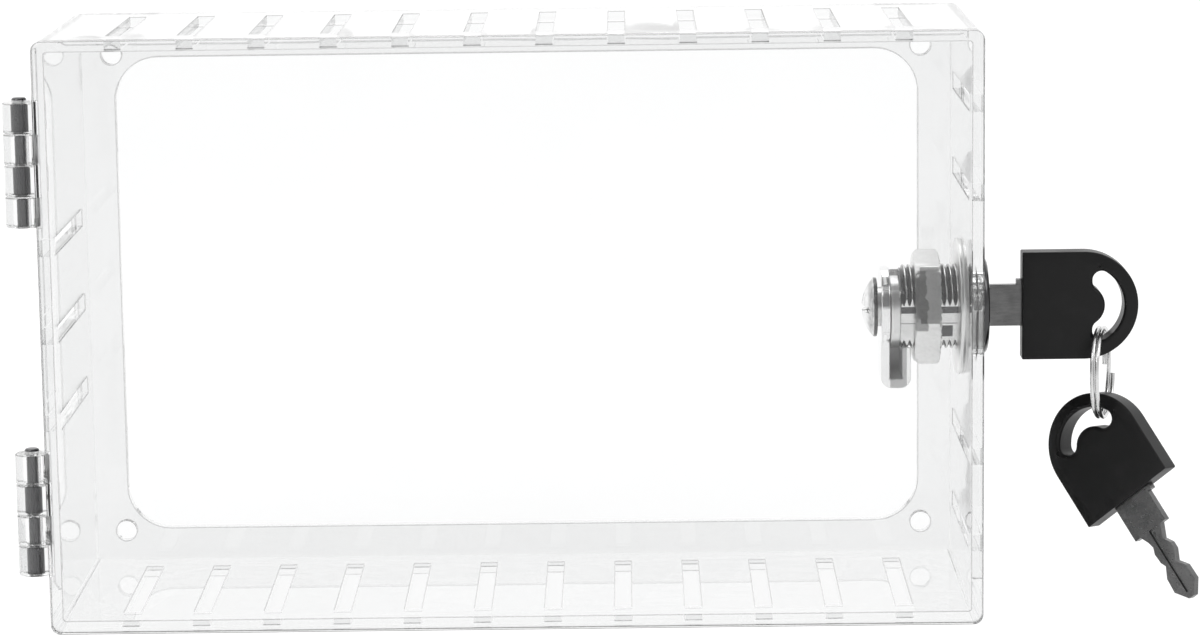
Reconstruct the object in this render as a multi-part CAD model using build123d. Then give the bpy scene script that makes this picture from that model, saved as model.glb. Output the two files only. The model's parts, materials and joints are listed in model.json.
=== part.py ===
# Clear wall guard for a thermostat: a window-backed box, a hinged clear door, a cam lock
# through the right side wall, its key, and a spare key on a split ring.
# Row frame: origin at the centre of the four wall screws on the back face, +X right,
# +Y into the wall, +Z up. All sizes in millimetres. The door's outer face looks along -Y.
import os
from math import cos, radians, sin, sqrt

from build123d import *

# Case and door
case_width = 204.0
case_height = 130.2
box_depth = 62.6
wall = 2.6
door_thickness = 2.6
door_gap = 0.3
corner_radius = 2.2
inner_corner_radius = 0.6

# Back ring: rim left round the window, and the four wall screw holes
ring_width = 10.0
window_radius = 10.0
screw_hole_radius = 2.3
screw_inset = 9.3

# Vent slots
slot_width = 3.6
slot_back_inset = 10.4
slot_front_inset = 7.5
slot_pitch = 15.5
slots_per_long_wall = 12
side_slot_pitch = 19.4
hinge_side_slots = (-1.0, 0.0, 1.0)
lock_side_slots = (-2.5, -1.5, 1.5, 2.5)

# Hinges: four knuckles each, the outermost and the third on the box
hinge_offset = 38.4
hinge_length = 27.2
knuckle_count = 4
knuckle_gap = 0.3
barrel_radius = 3.7
pin_axis_outset = 3.1
pin_radius = 1.25
pin_press = 0.01
pin_running_clearance = 0.08
pin_head_radius = 1.6
pin_head_height = 0.9
pin_chamfer = 0.3
notch_clearance = 0.35

# Lock: axis along X through the middle of the right wall
lock_depth_behind_door_face = 34.0
thread_radius = 9.5
flat_distance = 8.3
flat_tilt = 20.0
barrel_length = 16.3
flange_radius = 11.0
flange_thickness = 3.4
flange_rim_radius = 1.4
wall_hole_clearance = 0.1
plug_radius = 6.0
plug_clearance = 0.05
plug_head_radius = 7.2
plug_head_length = 2.2
plug_face_recess = 1.2
trim_washer_radius = 15.3
trim_washer_thickness = 1.0
nut_across_flats = 23.0
nut_thickness = 5.8
nut_backed_off = 3.8
nut_tilt = 12.0
nut_chamfer = 1.0
thread_clearance = 0.05

# Quarter-turn stop, cam and its screw
tang_side = 7.0
tang_clearance = 0.05
stack_gap = 0.15
stop_washer_thickness = 2.0
stop_washer_radius = 9.2
stop_track_radius = 7.0
stop_lug_angle = 24.0
stop_lug_position = 45.0
stop_angle_slack = 1.0
turn_angle = 90.0
cam_thickness = 2.0
cam_hub_radius = 9.2
cam_width = 11.0
cam_reach = 17.6
cam_bridge = 2.2
cam_channel = 2.7
cam_web = 1.4
cam_bend_radius = 2.4
cam_barrel_clearance = 0.4
lock_washer_thickness = 0.7
lock_washer_radius = 4.4
lock_washer_split = 0.6
screw_head_radius = 6.65
screw_head_height = 3.3
screw_rim = 0.7
screw_shank_radius = 2.0
screw_shank_clearance = 0.05
screw_shank_length = 4.6
screw_slot_width = 1.2
screw_slot_depth = 1.5
screw_cross_length = 6.4

# Keeper: a clear finger glued behind the door, whose lip lies in the cam's channel when locked
keeper_lip_clearance = 0.45
keeper_lip_depth = 3.4
keeper_arm_clearance = 0.9
keeper_arm_thickness = 4.0
keeper_foot_thickness = 1.6
keeper_foot_overhang = 2.5

# Wafers in the plug
wafer_count = 5
wafer_thickness = 0.9
wafer_pitch = 2.0
wafer_first = 2.4
wafer_width = 5.0
wafer_clearance = 0.06
wafer_travel = 0.8
wafer_window_height = 7.0
wafer_window_width = 2.5
wafer_groove_margin = 0.25

# Keys
key_head_radius = 12.15
key_head_flat = 13.85
key_head_thickness = 6.5
key_bevel_width = 3.0
key_bevel_depth = 0.8
eye_outer_radius = 8.95
eye_inner_radius = 4.65
eye_start = 1.85
eye_corner_radius = 2.0
eye_bevel = 0.6
eye_bevel_angle = 45.0
blade_length = 26.4
blade_shoulder = 8.8
blade_half_width = 4.65
blade_thickness = 2.0
blade_root = 8.0
blade_root_half = 3.1
blade_tip_length = 3.0
blade_tip_half = 0.75
# Bitting of each edge: distance from the shoulder, distance from the blade's middle line
upper_bitting = [(0, 3.1), (3.1, 1.6), (4.8, 2.7), (6.5, 2.7), (9.0, 1.4), (11.0, 3.0)]
lower_bitting = [(0, 3.1), (2.0, 2.1), (3.5, 1.7), (5.0, 2.3), (7.4, 2.1), (8.6, 1.5), (11.1, 2.9)]
blade_pocket_clearance = 0.02
blade_seat_gap = 0.2
keyway_half_height = 3.4
keyway_clearance = 0.12
keyway_end_gap = 0.25
milled_groove_width = 0.9
milled_groove_depth = 0.5
milled_groove_end = 1.5
bow_tab_width = 1.2
bow_tab_length = 1.2

# Split ring and the hanging spare key
wire_radius = 0.5
ring_inner_radius = 9.5
ring_coil_gap = 0.06
ring_turns = 1.97
ring_yaw = 16.0
ring_offset = 4.3
rim_gap = 1.1
spare_yaw = 43.6
spare_drop = 49.6
spare_roll = -9.0
spare_side_shift = -0.2
spare_gap = 1.5

# Places worked out from the driving sizes
box_front = -box_depth
door_back = box_front - door_gap
door_front = door_back - door_thickness
half_width = case_width / 2
half_height = case_height / 2
inner_half_width = half_width - wall
inner_half_height = half_height - wall
pin_x = -half_width - pin_axis_outset
pin_y = (box_front + door_back) / 2
knuckle_pitch = hinge_length / knuckle_count
lock_y = door_front + lock_depth_behind_door_face
flange_face_x = half_width + flange_thickness
barrel_end_x = half_width - barrel_length
plug_face_x = flange_face_x - plug_face_recess
washer_x = inner_half_width - trim_washer_thickness
nut_right_x = washer_x - nut_backed_off
stop_washer_x = barrel_end_x - stack_gap - stop_washer_thickness
cam_x = stop_washer_x - stack_gap - cam_thickness
lock_washer_x = cam_x - lock_washer_thickness
key_flat_x = plug_face_x + blade_seat_gap + blade_shoulder
key_centre_x = key_flat_x + key_head_flat
blade_tip_x = key_flat_x - blade_length
wire_pitch = 2 * wire_radius + ring_coil_gap
ring_mean_radius = ring_inner_radius + wire_radius
ring_x = key_centre_x + ring_offset
from_base = (Align.CENTER, Align.CENTER, Align.MIN)


def save(node, shape):
    os.makedirs("parts", exist_ok=True)
    shape.label = node
    export_step(shape, f"parts/{node}.step")


def block(low, high):
    size = [b - a for a, b in zip(low, high)]
    middle = [(a + b) / 2 for a, b in zip(low, high)]
    return Pos(*middle) * Box(*size)


def rod_z(radius, low, high, x, y):
    return Pos(x, y, (low + high) / 2) * Cylinder(radius, high - low)


def rod_x(radius, low, high):
    """Round bar on the lock axis, from x = low to x = high."""
    return Pos((low + high) / 2, lock_y, 0) * Rot(0, 90, 0) * Cylinder(radius, high - low)


def lock_plane(x):
    """Sketch plane across the lock axis: sketch X is the row's Y, sketch Y is the row's Z."""
    return Plane(origin=(x, lock_y, 0), x_dir=(0, 1, 0), z_dir=(1, 0, 0))


def across_lock(sketch, low, high):
    return extrude(lock_plane(low) * sketch, high - low)


def sector(radius, middle_angle, sweep_angle):
    """Pie slice about the sketch origin."""
    steps = 6
    angles = [radians(middle_angle + sweep_angle * (i / steps - 0.5)) for i in range(steps + 1)]
    reach = radius / cos(radians(sweep_angle / steps / 2))
    rim = [(reach * cos(a), reach * sin(a)) for a in angles]
    return make_face(Polyline((0, 0), *rim, close=True))


# ---- Case -------------------------------------------------------------------------------


def rounded_prism(half_x, half_z, radius, low_y, high_y):
    """Rectangular prism along Y with its four long edges rounded."""
    plane = Plane(origin=(0, high_y, 0), x_dir=(1, 0, 0), z_dir=(0, -1, 0))
    return extrude(plane * RectangleRounded(2 * half_x, 2 * half_z, radius), high_y - low_y)


def vent_slot(centre, across):
    """Cutter for one vent slot, long in Y, through a wall. across is the wall's normal axis."""
    length = box_depth - slot_back_inset - slot_front_inset
    middle_y = (-slot_back_inset + box_front + slot_front_inset) / 2
    if across == "z":
        plane = Plane(origin=(centre[0], middle_y, centre[1]), x_dir=(1, 0, 0), z_dir=(0, 0, 1))
    else:
        plane = Plane(origin=(centre[0], middle_y, centre[1]), x_dir=(0, 0, -1), z_dir=(1, 0, 0))
    return extrude(plane * Rectangle(slot_width, length), wall, both=True)


def vent_slots():
    cutters = []
    for i in range(slots_per_long_wall):
        x = (i - (slots_per_long_wall - 1) / 2) * slot_pitch
        cutters += [vent_slot((x, side * (half_height - wall / 2)), "z") for side in (-1, 1)]
    for place in hinge_side_slots:
        cutters.append(vent_slot((-half_width + wall / 2, place * side_slot_pitch), "x"))
    for place in lock_side_slots:
        cutters.append(vent_slot((half_width - wall / 2, place * side_slot_pitch), "x"))
    return cutters


def knuckle_spans(owner):
    """Z spans of the knuckles on one owner: the box has the outermost of each hinge."""
    spans = []
    for side in (-1, 1):
        outer_end = side * (hinge_offset + hinge_length / 2)
        for i in range(0 if owner == "box" else 1, knuckle_count, 2):
            near = outer_end - side * i * knuckle_pitch
            far = near - side * knuckle_pitch
            spans.append((min(near, far), max(near, far)))
    return spans


def knuckles(owner, plate_low_y, plate_high_y):
    """Barrels and the tangent arms that join them to a wall or plate."""
    made = []
    for low, high in knuckle_spans(owner):
        low, high = low + knuckle_gap / 2, high - knuckle_gap / 2
        barrel = rod_z(barrel_radius, low, high, pin_x, pin_y)
        arm = block((pin_x, plate_low_y, low), (-half_width + wall / 2, plate_high_y, high))
        made.append(barrel + arm)
    return made


def knuckle_notches(other_owner):
    """Concentric clearance for the other leaf's knuckles."""
    radius = barrel_radius + notch_clearance
    half_gap = knuckle_gap / 2
    spans = [(low - half_gap, high + half_gap) for low, high in knuckle_spans(other_owner)]
    return [rod_z(radius, low, high, pin_x, pin_y) for low, high in spans]


def pin_bores(radius):
    half = hinge_length / 2 + 1
    middles = (-hinge_offset, hinge_offset)
    return [rod_z(radius, middle - half, middle + half, pin_x, pin_y) for middle in middles]


def make_box():
    body = rounded_prism(half_width, half_height, corner_radius, box_front, 0)
    body -= rounded_prism(inner_half_width, inner_half_height, inner_corner_radius, box_front - 1, -wall)
    window = (half_width - ring_width, half_height - ring_width)
    body -= rounded_prism(*window, window_radius, -wall - 1, 1)
    for x in (-1, 1):
        for z in (-1, 1):
            place = (x * (half_width - screw_inset), -wall / 2, z * (half_height - screw_inset))
            body -= Pos(*place) * Rot(90, 0, 0) * Cylinder(screw_hole_radius, 2 * wall)
    body -= vent_slots()
    body -= knuckle_notches("door")
    for knuckle in knuckles("box", box_front, pin_y + barrel_radius):
        body += knuckle
    body -= pin_bores(pin_radius - pin_press)
    hole = barrel_outline(wall_hole_clearance)
    return body - across_lock(hole, inner_half_width - 1, half_width + 1)


def make_door():
    door = rounded_prism(half_width, half_height, corner_radius, door_front, door_back)
    door -= knuckle_notches("box")
    for knuckle in knuckles("door", door_front, door_back):
        door += knuckle
    door -= pin_bores(pin_radius + pin_running_clearance)
    return door


def make_keeper():
    """Finger behind the door: a glued foot, an arm above the cam's sweep, a lip for its channel."""
    channel_low = cam_x + cam_thickness
    low_x = channel_low + keeper_lip_clearance
    high_x = channel_low + cam_channel - keeper_lip_clearance
    lip_corner_reach = cam_reach - cam_bridge - keeper_lip_clearance
    lip_low = -cam_width / 2 + cam_web + keeper_lip_clearance
    lip_front = lock_y - sqrt(lip_corner_reach**2 - lip_low**2)
    lip_back = lip_front + keeper_lip_depth
    arm_low = cam_width / 2 + keeper_arm_clearance
    arm_high = arm_low + keeper_arm_thickness
    foot_back = door_back + keeper_foot_thickness
    brace_high = arm_high + keeper_foot_overhang
    outline = [
        (door_back, arm_low), (lip_front, arm_low), (lip_front, lip_low),
        (lip_back, lip_low), (lip_back, arm_high), (lip_front, arm_high),
        (foot_back, brace_high), (door_back, brace_high),
    ]
    side = Plane(origin=(low_x, 0, 0), x_dir=(0, 1, 0), z_dir=(1, 0, 0))
    finger = extrude(side * make_face(Polyline(*outline, close=True)), high_x - low_x)
    foot = block(
        (low_x - keeper_foot_overhang, door_back, arm_low),
        (high_x + keeper_foot_overhang, foot_back, brace_high),
    )
    return finger + foot


def make_hinge_pin(side):
    low = side * hinge_offset - hinge_length / 2
    high = side * hinge_offset + hinge_length / 2
    pin = rod_z(pin_radius, low, high, pin_x, pin_y)
    pin = chamfer(pin.edges().group_by(Axis.Z)[0], pin_chamfer)
    head = rod_z(pin_head_radius, high, high + pin_head_height, pin_x, pin_y)
    head = chamfer(head.edges().group_by(Axis.Z)[-1], pin_head_height / 3)
    return pin + head


# ---- Lock -------------------------------------------------------------------------------


def barrel_outline(grow=0.0):
    """Thread circle with two opposite flats."""
    flat_box = Rectangle(2 * (flat_distance + grow), 4 * thread_radius)
    return Circle(thread_radius + grow) & (Rot(0, 0, flat_tilt) * flat_box)


def make_lock_barrel():
    barrel = across_lock(barrel_outline(), barrel_end_x, half_width)
    flange = rod_x(flange_radius, half_width, flange_face_x)
    flange = fillet(flange.edges().group_by(Axis.X)[-1], flange_rim_radius)
    barrel += flange
    barrel -= rod_x(plug_radius + plug_clearance, barrel_end_x - 1, flange_face_x + 1)
    head_start = plug_face_x - plug_head_length - plug_clearance
    barrel -= rod_x(plug_head_radius + plug_clearance, head_start, flange_face_x + 1)
    groove_reach = plug_radius + wafer_travel + wafer_groove_margin
    groove_width = wafer_width + 2 * wafer_groove_margin
    groove_low, groove_high = wafer_groove_span()
    for size in ((groove_width, 2 * groove_reach), (2 * groove_reach, groove_width)):
        barrel -= across_lock(Rectangle(*size), groove_low, groove_high)
    ring = Circle(stop_washer_radius) - Circle(stop_track_radius + tang_clearance)
    lug = ring & sector(stop_washer_radius, stop_lug_position, stop_lug_angle)
    return barrel + across_lock(lug, stop_washer_x, barrel_end_x)


def wafer_positions():
    """Left faces of the wafers, from the plug's face inwards."""
    return [plug_face_x - wafer_first - i * wafer_pitch - wafer_thickness for i in range(wafer_count)]


def wafer_groove_span():
    places = wafer_positions()
    return places[-1] - wafer_groove_margin, places[0] + wafer_thickness + wafer_groove_margin


def make_lock_plug():
    body_end = barrel_end_x - stack_gap / 3
    plug = rod_x(plug_radius, body_end, plug_face_x)
    plug += rod_x(plug_head_radius, plug_face_x - plug_head_length, plug_face_x)
    plug += across_lock(Rectangle(tang_side, tang_side), cam_x + stack_gap, body_end)
    half = blade_thickness / 2 + keyway_clearance
    plug -= block(
        (blade_tip_x - keyway_end_gap, lock_y - half, -keyway_half_height),
        (plug_face_x + 1, lock_y + half, keyway_half_height),
    )
    slot = Rectangle(wafer_width + 2 * wafer_clearance, 3 * plug_radius)
    for x in wafer_positions():
        plug -= across_lock(slot, x - wafer_clearance, x + wafer_thickness + wafer_clearance)
    bore = rod_x(screw_shank_radius, cam_x, lock_washer_x + screw_shank_length + screw_shank_clearance)
    return plug - bore


def make_wafers(first):
    """Every second wafer; all lie flush in the plug while the key is home."""
    outline = Rectangle(wafer_width, 3 * plug_radius) & Circle(plug_radius - wafer_clearance)
    outline -= Rectangle(wafer_window_width, wafer_window_height)
    return Compound(
        children=[across_lock(outline, x, x + wafer_thickness) for x in wafer_positions()[first::2]]
    )


def make_trim_washer():
    ring = rod_x(trim_washer_radius, washer_x, inner_half_width)
    return ring - across_lock(barrel_outline(thread_clearance), washer_x - 1, inner_half_width + 1)


def make_nut():
    """Hexagon chamfered on the cam's side, backed off from the trim washer."""
    left = nut_right_x - nut_thickness
    hexagon = RegularPolygon(nut_across_flats / 2, 6, major_radius=False, rotation=nut_tilt)
    nut = across_lock(hexagon, left, nut_right_x)
    face_radius = nut_across_flats / sqrt(3) - nut_chamfer
    cone = Cone(face_radius, face_radius + 2 * nut_thickness, nut_thickness, align=from_base)
    nut &= Pos(left, lock_y, 0) * Rot(0, 90, 0) * cone
    return nut - rod_x(thread_radius + thread_clearance, left - 1, nut_right_x + 1)


def make_stop_washer():
    cut_sweep = stop_lug_angle + turn_angle + 2 * stop_angle_slack
    cut_middle = stop_lug_position + turn_angle / 2
    outline = Circle(stop_washer_radius)
    outline -= sector(2 * stop_washer_radius, cut_middle, cut_sweep) - Circle(stop_track_radius)
    side = tang_side + 2 * tang_clearance
    outline -= Rectangle(side, side)
    return across_lock(outline, stop_washer_x, stop_washer_x + stop_washer_thickness)


def make_cam():
    """Hook cam: its end turns over into a channel, open to the axis and closed by a web behind."""
    plate_high = cam_x + cam_thickness
    hub = Circle(cam_hub_radius)
    leg = Pos(0, -cam_reach / 2) * Rectangle(cam_width, cam_reach)
    cam = across_lock(hub + leg, cam_x, plate_high)
    outer_x = plate_high + cam_channel + cam_thickness
    hook = block(
        (cam_x, lock_y - cam_width / 2, -cam_reach),
        (outer_x, lock_y + cam_width / 2, -stop_track_radius),
    )
    hook = fillet(hook.edges().filter_by(Axis.Y).group_by(Axis.Z)[0], cam_bend_radius)
    hook -= block(
        (plate_high, lock_y - cam_width, -cam_reach + cam_bridge),
        (outer_x - cam_thickness, lock_y + cam_width / 2 - cam_web, 0),
    )
    hook -= rod_x(thread_radius + cam_barrel_clearance, plate_high, outer_x + 1)
    corner_cut = block(
        (cam_x - 1, lock_y - cam_width, -cam_reach - 1),
        (outer_x + 1, lock_y + cam_width, -cam_reach + cam_bend_radius),
    )
    cam = (cam - corner_cut) + hook
    side = tang_side + 2 * tang_clearance
    return cam - across_lock(Rectangle(side, side), cam_x - 1, plate_high + 1)


def make_lock_washer():
    washer = rod_x(lock_washer_radius, lock_washer_x, cam_x)
    bore = rod_x(screw_shank_radius, lock_washer_x - 1, cam_x + 1)
    split = block(
        (lock_washer_x - 1, lock_y - lock_washer_split / 2, 0),
        (cam_x + 1, lock_y + lock_washer_split / 2, 2 * lock_washer_radius),
    )
    return washer - bore - split


def make_cam_screw():
    """Domed head with a combined slot and cross, and a plain shank in the plug's tang."""
    dome_height = screw_head_height - screw_rim
    dome_radius = (screw_head_radius**2 + dome_height**2) / (2 * dome_height)
    under = lock_washer_x
    sphere_x = under - screw_head_height + dome_radius
    head = rod_x(screw_head_radius, under - screw_head_height, under)
    head &= Pos(sphere_x, lock_y, 0) * Sphere(dome_radius)
    crown = under - screw_head_height
    head -= block(
        (crown - 1, lock_y - 2 * screw_head_radius, -screw_slot_width / 2),
        (crown + screw_slot_depth, lock_y + 2 * screw_head_radius, screw_slot_width / 2),
    )
    head -= block(
        (crown - 1, lock_y - screw_slot_width / 2, -screw_cross_length / 2),
        (crown + screw_slot_depth, lock_y + screw_slot_width / 2, screw_cross_length / 2),
    )
    shank = rod_x(screw_shank_radius - screw_shank_clearance, under, under + screw_shank_length)
    return head + shank


# ---- Keys -------------------------------------------------------------------------------
# A key is drawn flat: sketch X runs from the head's arc centre towards the blade's tip,
# sketch Y across the blade, and the sketch's normal through the head's thickness.


def key_plane(origin, along, across):
    normal = along.cross(across)
    return Plane(origin=origin, x_dir=along, z_dir=normal)


def head_outline(inset=0.0):
    """Round end and straight sides, cut off square at the flat that the blade leaves from."""
    radius = key_head_radius - inset
    flat = key_head_flat - inset
    length = flat + radius
    end = Pos(flat - length / 2, 0) * Rectangle(length, 2 * radius)
    return (Circle(radius) + Pos(flat / 2, 0) * Rectangle(flat, 2 * radius)) & end


def eye_outline():
    """Crescent eye: a ring sector on the side away from the blade."""
    ring = Circle(eye_outer_radius) - Circle(eye_inner_radius)
    far_side = Rectangle(2 * eye_outer_radius, 4 * eye_outer_radius)
    eye = ring & (Pos(-eye_start - eye_outer_radius, 0) * far_side)
    return fillet(eye.vertices(), eye_corner_radius)


def key_head(plane):
    half = key_head_thickness / 2
    core = extrude(plane * head_outline(), half - key_bevel_depth, both=True)
    for sign in (-1, 1):
        base = plane.offset(sign * (half - key_bevel_depth))
        top = plane.offset(sign * half)
        core += loft([base * head_outline(), top * head_outline(key_bevel_width)])
    eye = eye_outline()
    head = core - extrude(plane * eye, key_head_thickness, both=True)
    for face in (plane, Plane(plane.origin, x_dir=plane.x_dir, z_dir=-plane.z_dir)):
        head -= extrude(face.offset(half - eye_bevel) * eye, 2 * eye_bevel, taper=-eye_bevel_angle)
    pocket = Pos(key_head_flat - blade_root / 2, 0) * Rectangle(
        blade_root + 2 * blade_pocket_clearance, 2 * (blade_half_width + blade_pocket_clearance)
    )
    return head - extrude(plane * pocket, blade_thickness / 2 + blade_pocket_clearance, both=True)


def bitted_edge(bitting, side):
    """Points of one edge from the shoulder to the spear tip, with the cuts that fit before it."""
    first = key_head_flat + blade_shoulder
    tip_start = key_head_flat + blade_length - blade_tip_length
    cuts = [(first + s, side * t) for s, t in bitting if first + s < tip_start]
    tip = [(tip_start, side * blade_root_half), (key_head_flat + blade_length, side * blade_tip_half)]
    return cuts + tip


def key_blade(plane):
    """Steel blade: wide shoulder, cuts on both edges, spear tip, a milled groove on each face."""
    flat = key_head_flat
    half = blade_half_width
    upper = [(flat - blade_root, half), (flat + blade_shoulder, half)] + bitted_edge(upper_bitting, 1)
    lower = [(flat - blade_root, -half), (flat + blade_shoulder, -half)] + bitted_edge(lower_bitting, -1)
    outline = make_face(Polyline(*upper, *reversed(lower), close=True))
    blade = extrude(plane * outline, blade_thickness / 2, both=True)
    groove_length = blade_length - blade_shoulder - milled_groove_end
    groove_middle = flat + blade_shoulder + groove_length / 2
    groove = Pos(groove_middle, 0) * Rectangle(groove_length, milled_groove_width)
    for sign in (-1, 1):
        face = plane.offset(sign * (blade_thickness / 2 - milled_groove_depth))
        blade -= extrude(face * groove, sign * blade_thickness)
    tab = Pos(flat + bow_tab_length / 2, half) * Rectangle(bow_tab_length, 2 * bow_tab_width)
    return blade + extrude(plane * tab, blade_thickness / 2, both=True)


def lock_key_plane():
    """The key in the lock: blade towards -X, its face to the front."""
    return key_plane(Vector(key_centre_x, lock_y, 0), Vector(-1, 0, 0), Vector(0, 0, 1))


def ring_centre():
    """The ring hangs on the rim below the eye of the key in the lock."""
    rim_z = -sqrt(eye_outer_radius**2 - ring_offset**2)
    half = key_head_thickness / 2 / cos(radians(ring_yaw))
    drop = sqrt(ring_inner_radius**2 - half**2)
    return Vector(ring_x, lock_y, rim_z + rim_gap - drop)


def make_ring():
    """Split ring: two turns of round wire side by side."""
    helix = Helix(wire_pitch, ring_turns * wire_pitch, ring_mean_radius)
    start = Plane(origin=helix @ 0, z_dir=helix % 0)
    coil = sweep(start * Circle(wire_radius), path=helix, is_frenet=True)
    coil = Pos(0, 0, -wire_pitch) * coil
    turn = Plane(
        origin=ring_centre(),
        x_dir=(sin(radians(ring_yaw)), cos(radians(ring_yaw)), 0),
        z_dir=(cos(radians(ring_yaw)), -sin(radians(ring_yaw)), 0),
    )
    return turn.location * coil


def spare_key_plane():
    """The spare hangs on the ring's lowest point, turned about the vertical and swung aside."""
    yaw, drop, roll = radians(spare_yaw), radians(spare_drop), radians(spare_roll)
    level = Vector(cos(yaw), -sin(yaw), 0)
    up = Vector(0, 0, 1)
    along = level * cos(drop) - up * sin(drop)
    across = level * sin(drop) + up * cos(drop)
    across = across * cos(roll) + along.cross(across) * sin(roll)
    bottom = ring_centre() - up * ring_inner_radius
    origin = Vector(ring_x + spare_side_shift, lock_y, bottom.Z - eye_outer_radius + spare_gap)
    return key_plane(origin, along, across)


def main():
    save("box", make_box())
    save("door", make_door())
    save("door_keeper", make_keeper())
    save("hinge_pin_upper", make_hinge_pin(1))
    save("hinge_pin_lower", make_hinge_pin(-1))
    save("lock_barrel", make_lock_barrel())
    save("lock_plug", make_lock_plug())
    save("lock_trim_washer", make_trim_washer())
    save("lock_nut", make_nut())
    save("stop_washer", make_stop_washer())
    save("cam_hook", make_cam())
    save("cam_lock_washer", make_lock_washer())
    save("cam_screw", make_cam_screw())
    save("wafers_upper", make_wafers(0))
    save("wafers_lower", make_wafers(1))
    save("key_head", key_head(lock_key_plane()))
    save("key_blade", key_blade(lock_key_plane()))
    save("key_ring", make_ring())
    save("spare_key_head", key_head(spare_key_plane()))
    save("spare_key_blade", key_blade(spare_key_plane()))


main()
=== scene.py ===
import json
import bmesh
import bpy
import numpy as np
from mathutils import Matrix, Vector


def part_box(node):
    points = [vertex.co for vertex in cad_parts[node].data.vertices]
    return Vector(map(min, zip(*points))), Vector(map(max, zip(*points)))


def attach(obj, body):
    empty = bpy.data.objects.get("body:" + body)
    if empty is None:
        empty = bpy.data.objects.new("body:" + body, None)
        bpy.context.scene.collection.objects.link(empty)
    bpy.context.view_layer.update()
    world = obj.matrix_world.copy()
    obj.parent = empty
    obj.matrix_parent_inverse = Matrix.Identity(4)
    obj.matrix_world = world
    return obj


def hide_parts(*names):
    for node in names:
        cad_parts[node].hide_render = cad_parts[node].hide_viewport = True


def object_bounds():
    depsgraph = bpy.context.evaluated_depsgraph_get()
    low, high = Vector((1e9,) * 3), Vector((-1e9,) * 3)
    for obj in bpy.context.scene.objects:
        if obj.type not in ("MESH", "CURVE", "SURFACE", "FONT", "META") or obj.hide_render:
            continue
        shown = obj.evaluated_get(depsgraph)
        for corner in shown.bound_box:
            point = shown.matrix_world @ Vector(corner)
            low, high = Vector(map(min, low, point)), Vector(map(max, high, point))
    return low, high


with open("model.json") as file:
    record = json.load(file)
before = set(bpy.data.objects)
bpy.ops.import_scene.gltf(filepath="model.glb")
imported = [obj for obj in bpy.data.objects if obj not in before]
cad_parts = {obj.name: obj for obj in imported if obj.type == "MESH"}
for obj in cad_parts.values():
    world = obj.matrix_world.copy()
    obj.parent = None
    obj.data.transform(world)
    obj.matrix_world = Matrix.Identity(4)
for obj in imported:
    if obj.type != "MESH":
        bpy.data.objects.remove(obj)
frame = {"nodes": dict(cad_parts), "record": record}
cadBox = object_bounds()
nodes = frame["nodes"]
mm = 0.001
print("frame loaded:", len(nodes), "nodes")


# Shader sockets that ordinary arithmetic can be written on
class Value:
    def __init__(self, finish, socket):
        self.finish = finish
        self.socket = socket

    def math(self, operation, *others):
        inputs = dict(enumerate((self, *others)))
        return self.finish.node("ShaderNodeMath", {"operation": operation}, inputs)

    def __add__(self, other):
        return self.math("ADD", other)

    def __radd__(self, other):
        return self.math("ADD", other)

    def __sub__(self, other):
        return self.math("SUBTRACT", other)

    def __rsub__(self, other):
        return self.finish.node("ShaderNodeMath", {"operation": "SUBTRACT"}, {0: other, 1: self})

    def __mul__(self, other):
        return self.math("MULTIPLY", other)

    def __rmul__(self, other):
        return self.math("MULTIPLY", other)


# One material: its node tree, and the one way in which its nodes are made
class Finish:
    def __init__(self, name, world=None):
        self.material = world or bpy.data.materials.new(name)
        self.material.use_nodes = True
        self.tree = self.material.node_tree
        self.tree.nodes.clear()

    def node(self, kind, settings=None, inputs=None, out=0):
        made = self.tree.nodes.new(kind)
        for key, value in (settings or {}).items():
            setattr(made, key, value)
        for key, value in (inputs or {}).items():
            if isinstance(value, Value):
                self.tree.links.new(value.socket, made.inputs[key])
            else:
                made.inputs[key].default_value = value
        return Value(self, made.outputs[out]) if made.outputs else made

    # Object coordinates in millimetres, stretched and turned
    def place(self, scale=(1, 1, 1), turn=(0, 0, 0)):
        coords = self.node("ShaderNodeTexCoord", out=3)
        sizes = tuple(s / mm for s in scale)
        return self.node("ShaderNodeMapping", {}, {"Vector": coords, "Scale": sizes, "Rotation": turn})

    def coords(self):  # the three object coordinates in millimetres, one socket each
        place = self.place()
        return [self.node("ShaderNodeSeparateXYZ", {}, {0: place}, out=i) for i in range(3)]

    def band(self, value, low, high, soft=0.1):  # 1 between two values, fading over a soft edge
        return self.ramp(value, low - soft, low + soft) * self.ramp(value, high + soft, high - soft)

    def noise(self, scale, detail, where=None):  # soft random field, 0 to 1
        inputs = {"Vector": where or self.place(), "Scale": scale, "Detail": detail}
        return self.node("ShaderNodeTexNoise", {}, inputs)

    # Straight ramp between two values of the factor
    def ramp(self, factor, low, high, fromValue=0.0, toValue=1.0):
        inputs = {0: factor, 1: low, 2: high, 3: fromValue, 4: toValue}
        return self.node("ShaderNodeMapRange", {}, inputs)

    def mix(self, factor, a, b):  # colour mix
        a, b = [(*colour, 1) if isinstance(colour, tuple) else colour for colour in (a, b)]
        return self.node("ShaderNodeMix", {"data_type": "RGBA"}, {0: factor, 6: a, 7: b}, out=2)

    def bump(self, height, distance):  # height 0 to 1, distance in millimetres
        inputs = {"Height": height, "Distance": distance * mm, "Strength": 1.0}
        return self.node("ShaderNodeBump", {}, inputs)

    def surface(self, **inputs):
        inputs = {key.replace("_", " "): value for key, value in inputs.items()}
        shader = self.node("ShaderNodeBsdfPrincipled", {}, inputs)
        self.node("ShaderNodeOutputMaterial", {}, {"Surface": shader})
        return self.material


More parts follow.
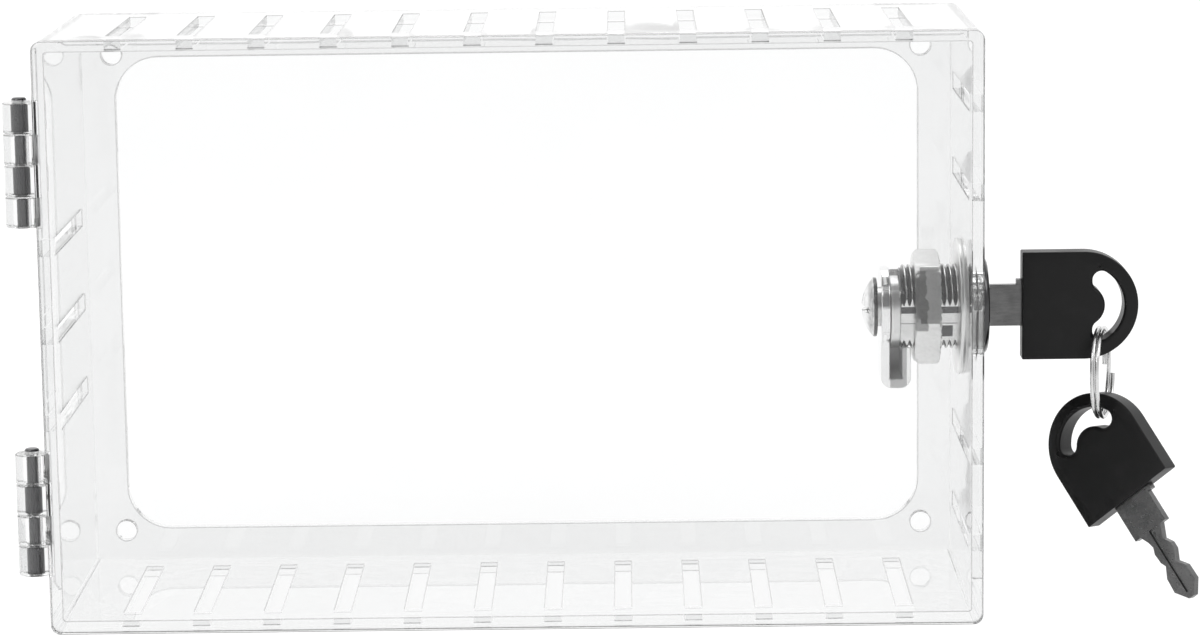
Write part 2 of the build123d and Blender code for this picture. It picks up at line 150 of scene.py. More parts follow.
clearLook = {
    "tint": (0.885, 0.887, 0.887), "tintDeep": (0.862, 0.865, 0.866), "index": 1.49,
    "polish": 0.008, "haze": 0.05, "scuff": 0.12, "waveHeight": 0.012,
    "cloudScale": 0.035, "speckScale": 3.2, "speckRange": (0.66, 0.74),
    "strokeScale": 0.6, "strokeStretch": (0.12, 1, 1), "strokeTurn": (0.1, 0.2, 0.35),
    "strokeRange": (0.62, 0.78),
}
# Painted shade: the eased edges of the case are tinted grey for the dark lines along the sheets' edges
edgeShadeLook = {**clearLook, "tint": (0.48, 0.48, 0.48), "tintDeep": (0.34, 0.34, 0.34), "polish": 0.05}
keeperLook = {**clearLook, "tint": (0.96, 0.96, 0.96), "tintDeep": (0.95, 0.95, 0.95), "index": 1.0}
# The dark tint of the painted shade behind the knuckles
knuckleShadeTint = (0.13, 0.13, 0.132)


def makeClearPlastic(name, look, joints=None):  # the third argument gives 1 where painted shade darkens the plastic behind the knuckles
    f = Finish(name)
    cloud = f.noise(look["cloudScale"], 3)
    specks = f.ramp(f.noise(look["speckScale"], 2), *look["speckRange"])
    strokePlace = f.place(look["strokeStretch"], look["strokeTurn"])
    strokes = f.ramp(f.noise(look["strokeScale"], 4, strokePlace), *look["strokeRange"])
    roughness = look["polish"] + specks * look["scuff"] + strokes * look["haze"]
    colour = f.mix(cloud, look["tint"], look["tintDeep"])
    if joints:
        colour = f.mix(joints(f), colour, knuckleShadeTint)
    return f.surface(
        Base_Color=colour, Roughness=roughness, Transmission_Weight=1.0, IOR=look["index"],
        Normal=f.bump(cloud, look["waveHeight"]),
    )


# paintedDark is the colour that painted reflections and painted shade take on a metal
metalLooks = {
    "hingeSteel": {
        "light": (0.92, 0.92, 0.92), "dark": (0.8, 0.8, 0.8), "paintedDark": (0.075, 0.075, 0.078),
        "rough": 0.28, "grain": (4.0, 4.0, 0.15), "depth": 0.006,
    },
    "chrome": {
        "light": (0.93, 0.93, 0.93), "dark": (0.84, 0.84, 0.84), "paintedDark": (0.06, 0.06, 0.06),
        "rough": 0.05, "grain": (0.8, 0.8, 0.8), "depth": 0.002,
    },
    "lockNickel": {
        "light": (0.86, 0.86, 0.855), "dark": (0.72, 0.72, 0.715), "paintedDark": (0.05, 0.05, 0.052),
        "rough": 0.18, "grain": (0.8, 0.8, 0.8), "depth": 0.004,
    },
    "zincPlate": {
        "light": (0.94, 0.94, 0.935), "dark": (0.8, 0.8, 0.795), "paintedDark": (0.12, 0.12, 0.12),
        "rough": 0.34, "grain": (1.2, 1.2, 1.2), "depth": 0.012,
    },
    "brass": {
        "light": (0.76, 0.64, 0.38), "dark": (0.6, 0.48, 0.26),
        "rough": 0.3, "grain": (1.0, 1.0, 1.0), "depth": 0.004,
    },
    "keySteel": {
        "light": (0.16, 0.16, 0.16), "dark": (0.08, 0.08, 0.08),
        "rough": 0.3, "grain": (0.5, 3.0, 3.0), "depth": 0.006,
    },
    "ringSteel": {
        "light": (0.72, 0.72, 0.72), "dark": (0.55, 0.55, 0.55),
        "rough": 0.18, "grain": (1.5, 1.5, 1.5), "depth": 0.003,
    },
}
# How wear lies on every metal: its scales, and how far it moves the roughness and the colour
metalWear = {
    "patchScale": 0.25, "grainScale": 1.0, "grainRough": 0.16, "patchShare": 0.6, "grainShare": 0.4,
    "blendRange": (0.3, 0.7), "markScale": 0.9, "markStretch": (0.3, 2.2, 1.1),
    "markTurn": (0.4, 0.3, 0.9), "markRange": (0.6, 0.75), "markRough": 0.08,
}


# shade gives the share of the light colour over the piece against the painted dark, which paints
# reflections and shade; dull adds roughness
def makeMetal(name, look, shade=None, dull=None):
    f = Finish(name)
    w = metalWear
    patches = f.noise(w["patchScale"], 4)
    grain = f.noise(w["grainScale"], 5, f.place(look["grain"]))
    markPlace = f.place(w["markStretch"], w["markTurn"])
    marks = f.ramp(f.noise(w["markScale"], 3, markPlace), *w["markRange"])
    roughness = look["rough"] + (grain - 0.5) * w["grainRough"] + marks * w["markRough"]
    blend = f.ramp(patches * w["patchShare"] + grain * w["grainShare"], *w["blendRange"])
    colour = f.mix(blend, look["dark"], look["light"])
    if shade:
        colour = f.mix(shade(f), look["paintedDark"], colour)
    if dull:
        roughness = roughness + dull(f)
    bump = f.bump(grain, look["depth"])
    return f.surface(Base_Color=colour, Roughness=roughness, Metallic=1.0, Normal=bump)


blackLook = {
    "base": (0.006, 0.006, 0.0062), "worn": (0.014, 0.014, 0.0143), "rough": 0.36, "shine": 0.2,
    "grainScale": 5.0, "grainHeight": 0.012, "grainRough": 0.2, "grainWorn": 0.15,
    "patchScale": 0.15, "patchRange": (0.5, 0.72), "patchRough": 0.08, "patchWorn": 0.5,
}


def makeBlackPlastic():
    f = Finish("blackPlastic")
    look = blackLook
    grain = f.noise(look["grainScale"], 3)
    rubbed = f.ramp(f.noise(look["patchScale"], 3), *look["patchRange"])
    worn = rubbed * look["patchWorn"] + grain * look["grainWorn"]
    return f.surface(
        Base_Color=f.mix(worn, look["base"], look["worn"]),
        Roughness=look["rough"] + (grain - 0.5) * look["grainRough"] + rubbed * look["patchRough"],
        IOR=1.5, Specular_IOR_Level=look["shine"], Normal=f.bump(grain, look["grainHeight"]),
    )


finishes = {name: makeMetal(name, look) for name, look in metalLooks.items()}
finishes["clearPlastic"] = makeClearPlastic("clearPlastic", clearLook)
finishes["blackPlastic"] = makeBlackPlastic()
print("finishes:", ", ".join(finishes))

nodeFinish = {
    "clear_plastic": "clearPlastic", "hinge_steel": "hingeSteel", "lock_nickel": "lockNickel",
    "zinc_plate": "zincPlate", "brass": "brass", "key_steel": "keySteel",
    "key_black": "blackPlastic", "ring_steel": "ringSteel",
}
slotOf = {part["node"]: part["material_slot"] for part in frame["record"]["subparts"]}
bodies = frame["record"]["behaviour"]["bodies"]
bodyOf = {node: body for body, members in bodies.items() for node in members}
for name, thing in nodes.items():
    thing.data.materials.clear()
    thing.data.materials.append(finishes[nodeFinish[slotOf[name]]])


def gridFaces(rows, columns, wrapRows=True):  # quads between neighbouring rows and columns
    r, c = np.meshgrid(np.arange(rows if wrapRows else rows - 1), np.arange(columns), indexing="ij")
    nextR, nextC = (r + 1) % rows, (c + 1) % columns
    here, beside = r * columns + c, r * columns + nextC
    across, below = nextR * columns + nextC, nextR * columns + c
    return np.stack([here, beside, across, below], -1).reshape(-1, 4)


# Points in millimetres; the piece takes the node's place, body and finish
def addPiece(name, points, faces, standsFor, smoothAngle=35, finish=None):
    mesh = bpy.data.meshes.new(name)
    points = np.asarray(points, float).reshape(-1, 3) * mm
    quads = np.array([f for f in faces if len(f) == 4])
    corners = points[quads]
    middle = points.mean(0)
    cross = np.cross(corners[:, 2] - corners[:, 0], corners[:, 3] - corners[:, 1])
    outward = np.einsum("ij,ij->", corners.mean(1) - middle, cross) > 0  # signed volume of the closed shell
    faces = [list(f) if outward else list(f)[::-1] for f in faces]
    mesh.from_pydata(points.tolist(), [], faces)
    mesh.validate()
    mesh.shade_smooth()
    mesh.set_sharp_from_angle(angle=np.radians(smoothAngle))
    return placePiece(bpy.data.objects.new(name, mesh), standsFor, finish)


def placePiece(piece, standsFor, finish=None, edgeFinish=None):
    bpy.context.scene.collection.objects.link(piece)
    slots = np.empty(len(piece.data.polygons), dtype=np.int32)
    piece.data.polygons.foreach_get("material_index", slots)
    piece.data.materials.clear()
    piece.data.materials.append(finish or finishes[nodeFinish[slotOf[standsFor]]])
    if edgeFinish:
        piece.data.materials.append(edgeFinish)
        piece.data.polygons.foreach_set("material_index", slots)
    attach(piece, bodyOf[standsFor])
    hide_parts(standsFor)
    return piece


def withModifier(mesh, kind, **settings):  # a mesh as one modifier leaves it
    source = bpy.data.objects.new(mesh.name, mesh)
    bpy.context.scene.collection.objects.link(source)
    modifier = source.modifiers.new(kind, kind)
    for key, value in settings.items():
        setattr(modifier, key, value)
    solved = source.evaluated_get(bpy.context.evaluated_depsgraph_get())
    result = bpy.data.meshes.new_from_object(solved)
    bpy.data.objects.remove(source)
    return result


# Angles in degrees: below flat, two faces are one, and above corner, an outer edge is eased
easing = {"merge": 0.002, "flat": 0.05, "corner": 28}


# A copy of a node whose outer edges are eased by the width in millimetres
def softEdged(node, name, width, segments=2, crisp=35, finish=None, edgeFinish=None):
    work = bmesh.new()
    work.from_mesh(nodes[node].data)
    bmesh.ops.remove_doubles(work, verts=work.verts, dist=easing["merge"] * mm)
    flat = np.radians(easing["flat"])
    bmesh.ops.dissolve_limit(work, angle_limit=flat, verts=work.verts, edges=work.edges)
    share = work.edges.layers.float.new("bevel_weight_edge")
    corner = np.radians(easing["corner"])
    for edge in work.edges:
        outer = len(edge.link_faces) == 2 and edge.calc_face_angle_signed() > corner
        edge[share] = 1.0 if outer else 0.0
    mesh = bpy.data.meshes.new(name)
    work.to_mesh(mesh)
    work.free()
    mesh.shade_smooth()
    mesh.materials.clear()
    for material in (finish, edgeFinish):
        mesh.materials.append(material)
    settings = {"material": 1} if edgeFinish else {}
    mesh = withModifier(
        mesh, "BEVEL", width=width * mm, segments=segments, limit_method="WEIGHT",
        use_clamp_overlap=False, **settings)
    mesh.set_sharp_from_angle(angle=np.radians(crisp))
    # Flat faces keep their own normals
    mesh = withModifier(mesh, "WEIGHTED_NORMAL", weight=100, keep_sharp=True)
    mesh.name = name
    return placePiece(bpy.data.objects.new(name, mesh), node, finish, edgeFinish)


# The glued face stands off the sheet it touches by the thickness of the glue
def liftOff(piece, y, gap):
    points = np.empty(len(piece.data.vertices) * 3)
    piece.data.vertices.foreach_get("co", points)
    points = points.reshape(-1, 3)
    points[points[:, 1] < (y + gap) * mm, 1] = (y + gap) * mm
    piece.data.vertices.foreach_set("co", points.ravel())


def edges(node):  # lowest and highest corner of a node, in millimetres
    low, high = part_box(node)
    return np.array(low) / mm, np.array(high) / mm


washerLow, washerHigh = edges("lock_trim_washer")
lockY, lockZ = (washerLow[1] + washerHigh[1]) / 2, (washerLow[2] + washerHigh[2]) / 2
nutLow, nutHigh = edges("lock_nut")
stopLow, stopHigh = edges("stop_washer")


# A point at a radius and angle about the lock's axis, where angle 0 is +Y and a quarter turn is up
def aroundLock(x, radius, angle):
    y, z = lockY + radius * np.cos(angle), lockZ + radius * np.sin(angle)
    return np.stack(np.broadcast_arrays(x, y, z), -1)


barrel = {
    "thread": 9.5, "pitch": 1.27, "depth": 0.78, "crestGain": 1.25, "rootCut": 0.1, "leadIn": 0.8,
    "flat": 7.5, "flatTilt": 20.0,
    "bore": 6.05, "headBore": 7.25, "headDepth": 2.25, "recess": 1.2, "chamfer": 0.2,
    "flange": 11.0, "flangeDepth": 3.4, "flangeEdge": 0.25, "rim": 1.4,
    "groove": 6.85, "grooveHalf": 25.0, "grooveMargin": 0.25, "grooveSlope": 0.05,
    "lugAngle": (33, 57), "lugRadii": (7.06, 9.2), "lugSink": 0.4, "stopGap": 0.15,
    "rowsPerPitch": 12, "columns": 192,
}
# Painted reflections and painted highlights: bands that stand for what the polished barrel would mirror
# In millimetres across a flat, along the axis, and back from the flange's face
barrelMarks = {
    "line": (0.62, 0.92), "lineShade": (0.02, 0.95), "flatShade": 0.95, "darkBand": (-4.1, -2.4),
    "reflectedLine": (0.0, 0.3), "reflectedLineShade": 0.5, "darkEnd": (0.7, 3.5), "darkEndSpan": (94.3, 97.3),
    "darkShade": 0.92, "flatEdge": (0.03, 0.01), "rimSpan": (1.7, 0.1), "rimShade": 0.97,
}


def flatReach(angle, flat):
    # Distance to the flat over the cosine of the angle from it, and well outside the thread elsewhere
    return flat / np.maximum(np.abs(np.cos(angle - np.radians(barrel["flatTilt"]))), 0.2)


def threadRadius(x, angle):
    # A ridge whose height is a clipped cosine of the pitches along the axis less the turn
    # Two flats and a cone at the barrel's end cut it
    b = barrel
    phase = (x / b["pitch"] - angle / (2 * np.pi)) % 1
    ridge = 0.5 + 0.5 * np.cos(2 * np.pi * phase)
    ridge = np.clip(b["crestGain"] * ridge - b["rootCut"], 0, 1)
    leadIn = b["thread"] - b["leadIn"] + (x - bodyStart)
    thread = b["thread"] - b["depth"] * (1 - ridge)
    return np.minimum(np.minimum(thread, flatReach(angle, b["flat"])), leadIn)


bodyStart = stopHigh[0] + barrel["stopGap"]
flangeFace = edges("lock_barrel")[1][0]
wallFace = flangeFace - barrel["flangeDepth"]


def barrelShade(f):
    # Painted highlight: a bright line along each crest of the thread, with dark flanks
    # Painted reflections: on the flats a dark band, a dark line and a dark end, and a dark rim on the
    # flange
    m = barrelMarks
    x, y, z = f.coords()
    across, up = y - float(lockY), z - float(lockZ)
    tilt = np.radians(barrel["flatTilt"])
    along = across * float(np.sin(tilt)) - up * float(np.cos(tilt))
    depth = across * float(np.cos(tilt)) + up * float(np.sin(tilt))
    side = f.node("ShaderNodeMath", {"operation": "SIGN"}, {0: depth})
    along = along * side * -1.0
    angle = f.node("ShaderNodeMath", {"operation": "ARCTAN2"}, {0: up, 1: across})
    phase = x * (1 / barrel["pitch"]) - angle * (1 / (2 * np.pi))
    # The whole turns added keep the phase positive
    crest = f.node("ShaderNodeMath", {"operation": "PINGPONG"}, {0: phase + 100.5, 1: 0.5}) * 2.0
    threads = f.ramp(crest, *m["line"], *m["lineShade"])
    flat = m["flatShade"] - f.band(along, *m["darkBand"]) * m["darkShade"]
    flat = flat - f.band(along, *m["reflectedLine"], 0.05) * m["reflectedLineShade"]
    flat = flat - f.band(along, *m["darkEnd"]) * f.band(x, *m["darkEndSpan"]) * m["darkShade"]
    onFlat = f.ramp(depth * side, *(barrel["flat"] - edge for edge in m["flatEdge"]))
    shank = threads + (flat - threads) * onFlat
    rimSpan = (float(flangeFace) - back for back in m["rimSpan"])
    rim = 1.0 - f.band(x, *rimSpan, 0.05) * m["rimShade"]
    flange = f.ramp(x, float(washerLow[0]), float(washerLow[0]) + 0.1)
    return shank + (rim - shank) * flange


def makeBarrel():
    # The threaded outside, then a profile turned about the axis: flange, head bore and bore
    b = barrel
    angle = np.linspace(0, 2 * np.pi, b["columns"], endpoint=False)
    xs = np.arange(bodyStart, wallFace, b["pitch"] / b["rowsPerPitch"])
    outer = aroundLock(xs[:, None], threadRadius(xs[:, None], angle[None]), angle[None])
    turn = np.linspace(0, np.pi / 2, 7)
    profile = [(wallFace, b["flange"] - b["flangeEdge"]), (wallFace + b["flangeEdge"], b["flange"])]
    rimX, rimR = flangeFace - b["rim"] * (1 - np.sin(turn)), b["flange"] - b["rim"] * (1 - np.cos(turn))
    profile += zip(rimX, rimR)
    headStart = flangeFace - b["recess"] - b["headDepth"]
    # Four grooves in the bore, a quarter turn apart, take the wafers when the key is out
    waferStart = min(edges(name)[0][0] for name in ("wafers_upper", "wafers_lower"))
    grooveStart = waferStart - b["grooveMargin"]
    profile += [
        (flangeFace, b["headBore"] + b["chamfer"]), (flangeFace - b["chamfer"], b["headBore"]),
        (headStart, b["headBore"]), (headStart, b["groove"]),
        (grooveStart + b["grooveSlope"], b["groove"]), (grooveStart, b["bore"]), (bodyStart, b["bore"]),
    ]
    px, pr = np.array(profile).T
    quarter = np.pi / 2
    fromGroove = np.abs((angle + quarter / 2) % quarter - quarter / 2)
    plain = fromGroove >= np.radians(b["grooveHalf"])
    radius = np.where((pr[:, None] == b["groove"]) & plain[None], b["bore"], pr[:, None])
    inner = aroundLock(px[:, None], radius, angle[None])
    points = np.concatenate([outer, inner])
    faces = gridFaces(len(points), len(angle)).tolist()
    finish = makeMetal("threadedNickel", metalLooks["lockNickel"], barrelShade)
    return addPiece("threadedBarrel", points, faces, "lock_barrel", 50, finish)


def makeStopLug():  # curved block on the barrel's end that the stop washer turns against
    b = barrel
    angle = np.radians(np.linspace(*b["lugAngle"], 9))
    inner, outer = b["lugRadii"]
    sunk = bodyStart + b["lugSink"]
    x = np.array([stopLow[0], sunk, sunk, stopLow[0]])
    r = np.array([outer, outer, inner, inner])
    points = aroundLock(x[None], r[None], angle[:, None])
    faces = gridFaces(len(angle), 4, wrapRows=False).tolist()
    last = 4 * (len(angle) - 1)
    faces += [[3, 2, 1, 0], [last, last + 1, last + 2, last + 3]]
    return addPiece("barrelLug", points, faces, "lock_barrel")


nut = {
    "acrossFlats": 23.0, "tilt": 40.0, "chamfer": 1.0, "cornerRound": 0.5, "coneReach": 0.6,
    "faceEase": (0.15, 0.4), "toothEase": (0.12, 0.5), "toothSlope": 0.6, "toothRoot": 0.6,
    "bore": 9.56, "boreChamfer": 0.5, "teeth": 42, "toothDepth": 0.35, "columns": 504,
}
# A painted reflection, a grey patch on the near facet, in millimetres from the lock's axis, and crumpled
# plating
nutMarks = {
    "borderScale": 0.45, "borderReach": 2.6, "borderStart": 1.2, "near": (-8.0, -9.0),
    "height": (-3.6, 9.4), "reflectionShade": 0.7, "crumpleScale": 1.6, "crumpleRange": (0.45, 0.7),
    "crumpleShade": 0.1,
}


def nutShade(f):
    # Painted reflection: the facet towards the door is grey by the plain face and pale past a ragged border
    # by the teeth; crumpled plating darkens it at random
    m = nutMarks
    x, y, z = f.coords()
    up = z - float(lockZ)
    ragged = f.noise(m["borderScale"], 2, f.place((0.2, 1, 1))) * m["borderReach"]
    border = ragged + float(nutLow[0]) + m["borderStart"]
    grey = f.ramp(x - border, 0.15, -0.15) * f.ramp(y - float(lockY), *m["near"])
    grey = grey * f.band(up, *m["height"], 0.15)
    crumple = f.ramp(f.noise(m["crumpleScale"], 4), *m["crumpleRange"])
    return 1.0 - grey * m["reflectionShade"] - crumple * m["crumpleShade"]


def makeNut():
    # Hexagon: distance to the nearest flat over the cosine of the angle from it
    # Its corners are cut back a little, and a cone chamfers both faces
    n = nut
    left, right = nutLow[0], nutHigh[0]
    angle = np.linspace(0, 2 * np.pi, n["columns"], endpoint=False)
    fromFlat = (angle - np.radians(n["tilt"]) + np.pi / 6) % (np.pi / 3) - np.pi / 6
    hexagon = n["acrossFlats"] / 2 / np.cos(fromFlat)
    hexagon = np.minimum(hexagon, n["acrossFlats"] / np.sqrt(3) - n["cornerRound"] * 0.5)
    cone = n["acrossFlats"] / 2 + n["coneReach"]
    tooth = np.abs((angle * n["teeth"] / (2 * np.pi)) % 1 - 0.5) * 2 * n["toothDepth"]
    (faceIn, faceDown), (toothIn, toothUp) = n["faceEase"], n["toothEase"]
    rows = []
    for x, radius, toothShare in (
        (left, n["bore"] + n["boreChamfer"], 0), (left, cone - faceDown, 0), (left + faceIn, cone, 0),
        (left + n["chamfer"], hexagon, 0), (right - n["chamfer"] * 0.6, hexagon, 0),
        (right - toothIn, cone + toothUp, n["toothSlope"]), (right, cone, 1),
        (right, n["bore"] + n["toothRoot"], 1),
        (right - n["boreChamfer"], n["bore"], 0), (left + n["boreChamfer"], n["bore"], 0),
    ):
        radius = np.minimum(hexagon, radius)
        rows.append(aroundLock(x - tooth * toothShare, radius, angle))
    finish = makeMetal("toothedZinc", metalLooks["zincPlate"], nutShade)
    faces = gridFaces(len(rows), n["columns"]).tolist()
    return addPiece("hexNut", np.array(rows), faces, "lock_nut", 30, finish)


washer = {
    "radius": 15.3, "edge": 0.28, "chamfer": 0.2, "clearance": 0.05, "stepReach": (3.2, 3.0),
    "stepDepth": 0.05, "columns": 256,
}


def makeTrimWasher():
    # A ring whose bore is the barrel's circle cut by its two flats, with a shallow step near the rim
    w = washer
    left, right = washerLow[0], washerHigh[0]
    angle = np.linspace(0, 2 * np.pi, w["columns"], endpoint=False)
    bore = np.minimum(barrel["thread"] + w["clearance"], flatReach(angle, barrel["flat"] + w["clearance"]))
    rim, edge, chamfer = w["radius"], w["edge"], w["chamfer"]
    step = left + w["stepDepth"]
    profile = [(left, bore + chamfer)] + [(step, rim - reach) for reach in (*w["stepReach"], edge)]
    profile += [(left + edge, rim), (right - edge, rim), (right, rim - edge)]
    profile += [(right, bore + chamfer), (right - chamfer, bore), (left + chamfer, bore)]
    rows = [aroundLock(x, r + 0 * angle, angle) for x, r in profile]
    faces = gridFaces(len(rows), w["columns"]).tolist()
    return addPiece("trimWasher", np.array(rows), faces, "lock_trim_washer", 40)


# Painted shade under the rim and a painted reflection greying the dome, as bands along the axis back from
# the face of the cam
screwMarks = {
    "under": (1.5, 0.55), "underShade": 0.93, "dome": (2.6, 1.6), "domeShade": 0.3,
    "patchScale": 0.35, "patchRange": (0.4, 0.6), "patchShade": 0.25,
}


def screwShade(f):  # painted shade: the rim's underside is dark against the cam; painted reflection: the dome greys towards it; grey patches at random
    m = screwMarks
    x = f.coords()[0]
    seat = float(edges("cam_hook")[0][0])
    patch = f.ramp(f.noise(m["patchScale"], 2), *m["patchRange"])
    shade = 1.0 - f.band(x, *(seat - back for back in m["under"]), 0.08) * m["underShade"]
    shade = shade - f.band(x, *(seat - back for back in m["dome"]), 0.3) * m["domeShade"]
    return shade - patch * m["patchShade"]


# The hook's channel: its span along the axis from the stop washer's far face, and its upper end
channel = {"span": (-2.1, 1.6), "top": (-6.8, -7.2), "roughness": 0.55}


def hookDull(f):  # the inside of the channel isn't polished
    x, _, z = f.coords()
    inside = f.band(x, *(float(stopHigh[0]) + end for end in channel["span"]), 0.02)
    return inside * f.ramp(z, *channel["top"]) * channel["roughness"]


makeBarrel()
makeStopLug()
makeNut()
makeTrimWasher()
hookFinish = makeMetal("chromeHook", metalLooks["chrome"], dull=hookDull)
softEdged("cam_hook", "hookCam", 0.35, 3, finish=hookFinish)
screwFinish = makeMetal("chromeScrew", metalLooks["chrome"], screwShade)
softEdged("cam_screw", "domedScrew", 0.18, finish=screwFinish)
softEdged("stop_washer", "stopPlate", 0.15)
print("lock built")


ring = {
    "wire": 0.5, "inner": 9.5, "gap": 0.06, "turns": 1.97, "yaw": 16.0,
    "stepsPerTurn": 180, "around": 20,
}


def makeRing():
    # A tube about a helix: centre at the mean radius, rising one pitch per turn
    # The section stays in the plane through the ring's axis
    r = ring
    low, high = edges("key_ring")
    mean, pitch = r["inner"] + r["wire"], 2 * r["wire"] + r["gap"]
    steps = int(r["turns"] * r["stepsPerTurn"])
    turn = np.linspace(0, 2 * np.pi * r["turns"], steps)[:, None]
    section = np.linspace(0, 2 * np.pi, r["around"], endpoint=False)[None]
    radius = mean + r["wire"] * np.cos(section)
    x, y = radius * np.cos(turn), radius * np.sin(turn)
    z = pitch * (turn / (2 * np.pi) - 1) + r["wire"] * np.sin(section)
    local = np.stack(np.broadcast_arrays(x, y, z), -1)
    yaw = np.radians(r["yaw"])
    side = np.array([np.sin(yaw), np.cos(yaw), 0])
    axis = np.array([np.cos(yaw), -np.sin(yaw), 0])
    up = np.cross(axis, side)
    points = local @ np.array([side, up, axis])
    points += (low + high) / 2 - (points.min((0, 1)) + points.max((0, 1))) / 2
    rows, columns = points.shape[:2]
    faces = gridFaces(rows, columns, wrapRows=False).tolist()
    faces += [list(range(columns))[::-1], list(range((rows - 1) * columns, rows * columns))]
    return addPiece("splitRing", points, faces, "key_ring", 50)


makeRing()
softEdged("key_head", "keyHead", 0.3, 3)
softEdged("spare_key_head", "spareKeyHead", 0.3, 3)
softEdged("key_blade", "keyBlade", 0.1)
softEdged("spare_key_blade", "spareKeyBlade", 0.1)
print("keys and ring built")


# The hinges lie as far above and below the middle, and joint is the span in x of the painted shade behind
# the knuckles
hinge = {
    "middle": 38.4, "pitch": 6.8, "gap": 0.42, "gapEdge": 0.12, "joint": (-102.9, -101.1),
    "jointDepth": 0.25, "jointEnd": 0.2, "leftRange": (0.3, -1.3), "leftShade": 0.1,
}


def fromHinge(f, z):  # height above the middle of the nearer hinge
    return f.node("ShaderNodeMath", {"operation": "ABSOLUTE"}, {0: z}) - hinge["middle"]


def knuckleGaps(f, z):  # 1 in the gaps between the knuckles of both hinges
    place = fromHinge(f, z) * (1 / hinge["pitch"]) + 20.5
    away = f.node("ShaderNodeMath", {"operation": "PINGPONG"}, {0: place - 0.5, 1: 0.5}) * hinge["pitch"]
    return f.ramp(away, hinge["gap"], hinge["gap"] - hinge["gapEdge"])


# Drawn steel painted dark as shade, with painted light a little to the left and painted highlights in the
# gaps between knuckles
def pinShade(f):
    x, _, z = f.coords()
    side = f.ramp(x - float(pinLow[0] + pinHigh[0]) / 2, *hinge["leftRange"]) * hinge["leftShade"]
    return f.node("ShaderNodeMath", {"operation": "MAXIMUM"}, {0: side, 1: knuckleGaps(f, z)})


def knuckleShadeLines(f):  # painted shade: a dark line on the box's front faces behind each knuckle
    x, y, z = f.coords()
    reach = 2 * hinge["pitch"] - hinge["jointEnd"]
    spans = f.band(fromHinge(f, z), -reach, reach, 0.05) * (1.0 - knuckleGaps(f, z))
    face = f.band(y, jointY - hinge["jointDepth"], jointY + hinge["jointDepth"], 0.02)
    return f.band(x, *hinge["joint"], 0.1) * spans * face


pinLow, pinHigh = edges("hinge_pin_upper")
jointY = float(pinLow[1] + pinHigh[1]) / 2
pinFinish = makeMetal("drawnPin", metalLooks["hingeSteel"], pinShade)
softEdged("hinge_pin_upper", "pinUpper", 0.12, finish=pinFinish)
softEdged("hinge_pin_lower", "pinLower", 0.12, finish=pinFinish)
print("hinge pins built")


# The case plastic carries painted shade behind the knuckles
caseFinish = makeClearPlastic("casePlastic", clearLook, knuckleShadeLines)
# The eased edges take the grey tint of painted shade
edgeFinish = makeClearPlastic("edgeShadePlastic", edgeShadeLook)
softEdged("box", "clearBox", 0.22, crisp=15, finish=caseFinish, edgeFinish=edgeFinish)
softEdged("door", "clearDoor", 0.22, crisp=15, finish=caseFinish, edgeFinish=edgeFinish)
keeperFinish = makeClearPlastic("keeperPlastic", keeperLook)
keeper = softEdged("door_keeper", "clearKeeper", 0.2, crisp=15, finish=keeperFinish)
liftOff(keeper, edges("door_keeper")[0][1], 0.04)
print("clear case built")


camera = {
    "at": (25.671, -919.724, 148.625), "pitch": 9.634, "yaw": 0.444, "roll": 0.764,
    "focal": 4015.571, "imageWidth": 1200, "clip": (0.01, 50), "sensor": 36.0,
}


def makeCamera():
    # Level axes from the yaw, then pitched down, then rolled about the view
    c = camera
    pitch, yaw, roll = np.radians([c["pitch"], c["yaw"], c["roll"]])
    right = np.array([np.cos(yaw), np.sin(yaw), 0])
    level = np.array([-np.sin(yaw), np.cos(yaw), 0])
    up = np.sin(pitch) * level + np.cos(pitch) * np.array([0, 0, 1])
    ahead = np.cos(pitch) * level - np.sin(pitch) * np.array([0, 0, 1])
    rolledRight = np.cos(roll) * right - np.sin(roll) * up
    rolledUp = np.sin(roll) * right + np.cos(roll) * up
    data = bpy.data.cameras.new("camera")
    data.sensor_width = c["sensor"]
    data.lens = c["focal"] * data.sensor_width / c["imageWidth"]
    data.clip_start, data.clip_end = c["clip"]
    thing = bpy.data.objects.new("camera", data)
    bpy.context.scene.collection.objects.link(thing)
    turn = Matrix([rolledRight, rolledUp, -ahead]).transposed().to_4x4()
    thing.matrix_world = Matrix.Translation(Vector(c["at"]) * mm) @ turn
    bpy.context.scene.camera = thing


# backdrop is the strength that the camera, gloss and clear plastic see, and ambient lights the object
# Each lamp has its place and size in metres and its power in watts
studio = {
    "backdrop": 1.185, "floorKeep": 0.85, "ambient": 0.7, "room": 0.04, "glossShare": 0.35,
    "throughShare": 0.6, "floorColour": (0.9, 0.9, 0.9), "floorRadius": 6.0, "floorCorners": 96,
    "roomRise": (0.0, 0.2), "roomDepth": (0.75, 0.0), "bounces": 32,
    "lamps": [((-0.9, -0.9, 1.3), 0.8, 7.0), ((1.1, -0.4, 1.0), 0.6, 4.0), ((0.1, 0.7, 1.4), 0.8, 4.0)],
}


def backdropRays(f):  # 1 for rays from the camera, from gloss and through clear plastic
    seen = [f.node("ShaderNodeLightPath", out=i) for i in (0, 3, 6)]
    return f.node("ShaderNodeMath", {"operation": "MINIMUM"}, {0: seen[0] + seen[1] + seen[2], 1: 1.0})


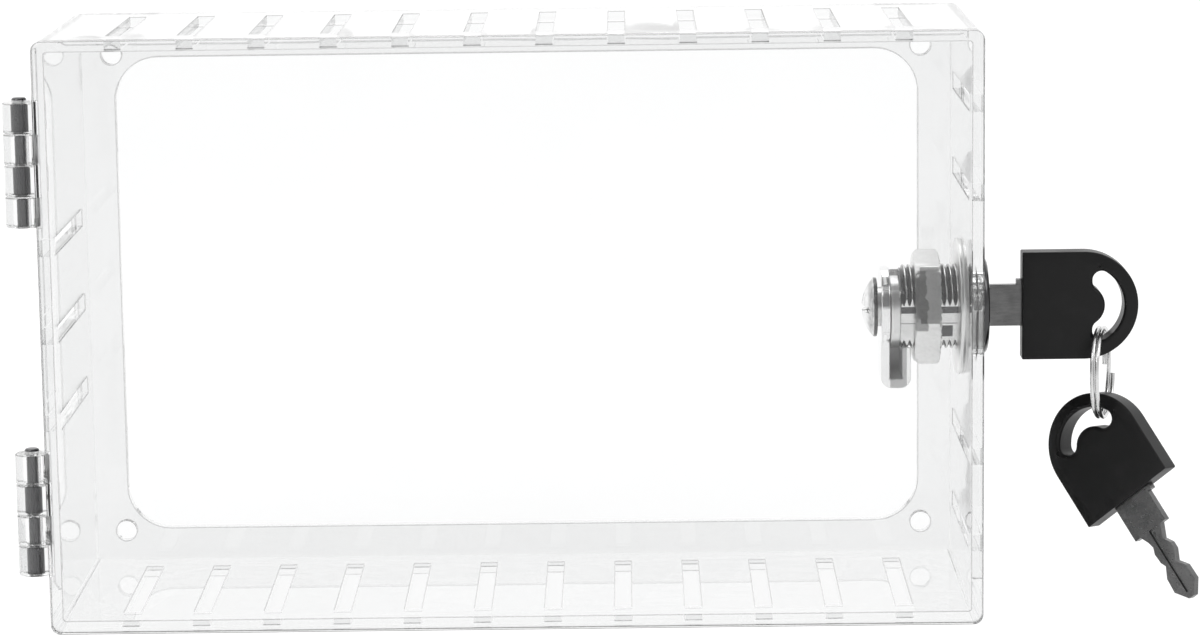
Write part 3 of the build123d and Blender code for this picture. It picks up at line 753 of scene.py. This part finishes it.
def makeFloor():
    f = Finish("paleFloor")
    matt = f.node("ShaderNodeBsdfDiffuse", {}, {"Color": (*studio["floorColour"], 1)})
    glow = f.node("ShaderNodeEmission", {}, {"Color": (1, 1, 1, 1), "Strength": studio["backdrop"]})
    blend = f.node("ShaderNodeMixShader", {}, {0: backdropRays(f) * studio["floorKeep"], 1: matt, 2: glow})
    f.node("ShaderNodeOutputMaterial", {}, {"Surface": blend})
    angle = np.linspace(0, 2 * np.pi, studio["floorCorners"], endpoint=False)
    height = cadBox[0][2]
    reach = studio["floorRadius"]
    mesh = bpy.data.meshes.new("floor")
    points = np.stack([reach * np.cos(angle), reach * np.sin(angle), 0 * angle + height], -1)
    mesh.from_pydata(points.tolist(), [], [list(range(len(points)))])
    mesh.materials.append(f.material)
    floor = bpy.data.objects.new("floor", mesh)
    bpy.context.scene.collection.objects.link(floor)


def makeLight():
    world = bpy.data.worlds.new("studioWorld")
    bpy.context.scene.world = world
    f = Finish("studioWorld", world)
    direction = f.node("ShaderNodeTexCoord")
    ahead, up = [f.node("ShaderNodeSeparateXYZ", {}, {0: direction}, out=i) for i in (1, 2)]
    # The room above and behind the camera is darker than the sweep
    dimRoom = f.ramp(up, *studio["roomRise"]) * f.ramp(ahead, *studio["roomDepth"])
    gloss, through = [f.node("ShaderNodeLightPath", out=i) for i in (3, 6)]
    seen = gloss * studio["glossShare"] + through * studio["throughShare"]
    dim = f.node("ShaderNodeMath", {"operation": "MINIMUM"}, {0: seen, 1: 1.0}) * dimRoom
    ambient = f.node("ShaderNodeBackground", {}, {"Color": (1, 1, 1, 1), "Strength": studio["ambient"]})
    sweep = f.ramp(dim, 0.0, 1.0, studio["backdrop"], studio["room"])
    white = f.node("ShaderNodeBackground", {}, {"Color": (1, 1, 1, 1), "Strength": sweep})
    blend = f.node("ShaderNodeMixShader", {}, {0: backdropRays(f), 1: ambient, 2: white})
    f.node("ShaderNodeOutputWorld", {}, {"Surface": blend})
    for i, (place, size, power) in enumerate(studio["lamps"]):
        lamp = bpy.data.lights.new(f"softbox{i}", "AREA")
        lamp.shape = "SQUARE"
        lamp.size = size
        lamp.energy = power
        thing = bpy.data.objects.new(f"softbox{i}", lamp)
        bpy.context.scene.collection.objects.link(thing)
        turn = (-Vector(place)).to_track_quat("-Z", "Y").to_matrix().to_4x4()
        thing.matrix_world = Matrix.Translation(place) @ turn


makeCamera()
makeFloor()
makeLight()
bpy.context.scene.view_settings.view_transform = "Standard"
for limit in ("max_bounces", "transmission_bounces", "glossy_bounces"):
    # Light leaves the clear sheets only after many turns
    setattr(bpy.context.scene.cycles, limit, studio["bounces"])
print("camera, floor and light set")
